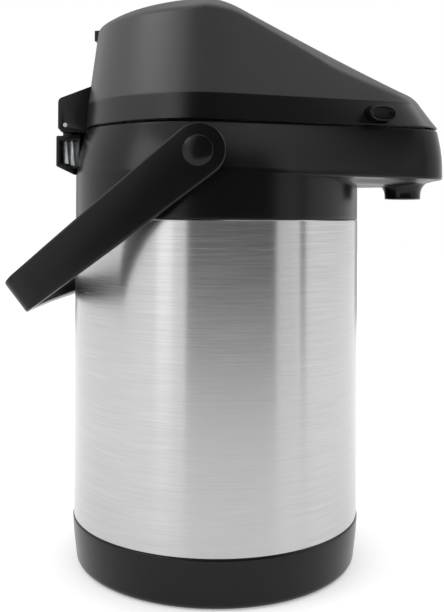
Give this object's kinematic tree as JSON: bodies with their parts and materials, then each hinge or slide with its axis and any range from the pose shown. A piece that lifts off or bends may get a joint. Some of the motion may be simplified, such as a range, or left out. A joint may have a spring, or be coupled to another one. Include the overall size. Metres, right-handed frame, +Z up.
{
  "type": "thermal coffee airpot",
  "caption": "Push-button vacuum airpot with a steel body, a hinged lid that holds a bellows pump, a beak spout and a strap handle.",
  "frame": {"origin": "centre of the base's flat underside, on the axis of the steel body", "axes": "+Z up along the body's axis, +X towards the spout, +Y to the airpot's left side"},
  "size_m": [0.2311, 0.1838, 0.3225],
  "materials": {
    "satin_plastic": "satin black",
    "lid_plastic": "fine-grained charcoal",
    "brushed_steel": "brushed round the body",
    "plain_steel": "plain",
    "grey_plastic": "moulded",
    "black_rubber": "soft"
  },
  "bodies": {
    "airpot": {"base_cover": "satin_plastic", "foot_ring": "black_rubber", "base_screws": "plain_steel", "weld_nuts": "plain_steel", "shell_bottom": "plain_steel", "getter_cap": "plain_steel", "outer_shell": "brushed_steel", "flask_liner": "plain_steel", "neck_ring": "satin_plastic", "mouth_gasket": "black_rubber", "stem_holder": "grey_plastic", "dip_tube": "plain_steel", "stem_o_ring": "black_rubber", "check_ball": "plain_steel", "spout_pipe": "plain_steel", "shoulder": "satin_plastic", "spout_cover": "satin_plastic", "hinge_bracket": "satin_plastic", "hinge_pin": "plain_steel", "handle_washers": "grey_plastic", "pivot_pin_left": "satin_plastic", "pivot_pin_right": "satin_plastic"},
    "lid": {"lid_cover": "lid_plastic", "hinge_cover": "satin_plastic", "lid_base": "grey_plastic", "lid_gasket": "black_rubber", "air_valve": "black_rubber", "bellows": "black_rubber", "pump_spring": "plain_steel", "lid_screws": "plain_steel"},
    "pump": {"push_button": "lid_plastic", "plunger": "grey_plastic"},
    "latch_left": {"latch_button_left": "satin_plastic", "latch_spring_left": "plain_steel"},
    "latch_right": {"latch_button_right": "satin_plastic", "latch_spring_right": "plain_steel"},
    "lock": {"lock_slider": "satin_plastic"},
    "handle": {"handle": "satin_plastic"}
  },
  "joints": [
    {"name": "lid_hinge", "type": "hinge", "parent": "airpot", "child": "lid", "pos_m": [-0.0866, 0, 0.2516], "axis": [0, -1, 0], "range_deg": [0, 88]},
    {"name": "pump_slide", "type": "slide", "parent": "lid", "child": "pump", "axis": [0, 0, -1], "range_m": [0, 0.025], "stiffness_N_per_m": 400, "springref_m": -0.01, "deforming": ["bellows", "pump_spring"]},
    {"name": "latch_left_press", "type": "slide", "parent": "lid", "child": "latch_left", "axis": [-0.3919, -0.92, 0], "range_m": [0, 0.0025], "stiffness_N_per_m": 600, "springref_m": -0.002},
    {"name": "latch_right_press", "type": "slide", "parent": "lid", "child": "latch_right", "axis": [-0.3919, 0.92, 0], "range_m": [0, 0.0025], "stiffness_N_per_m": 600, "springref_m": -0.002},
    {"name": "lock_slide", "type": "slide", "parent": "lid", "child": "lock", "axis": [1, 0, 0], "range_m": [0, 0.003]},
    {"name": "handle_swing", "type": "hinge", "parent": "airpot", "child": "handle", "pos_m": [0, 0, 0.2316], "axis": [0, 1, 0], "range_deg": [0, 193]}
  ]
}
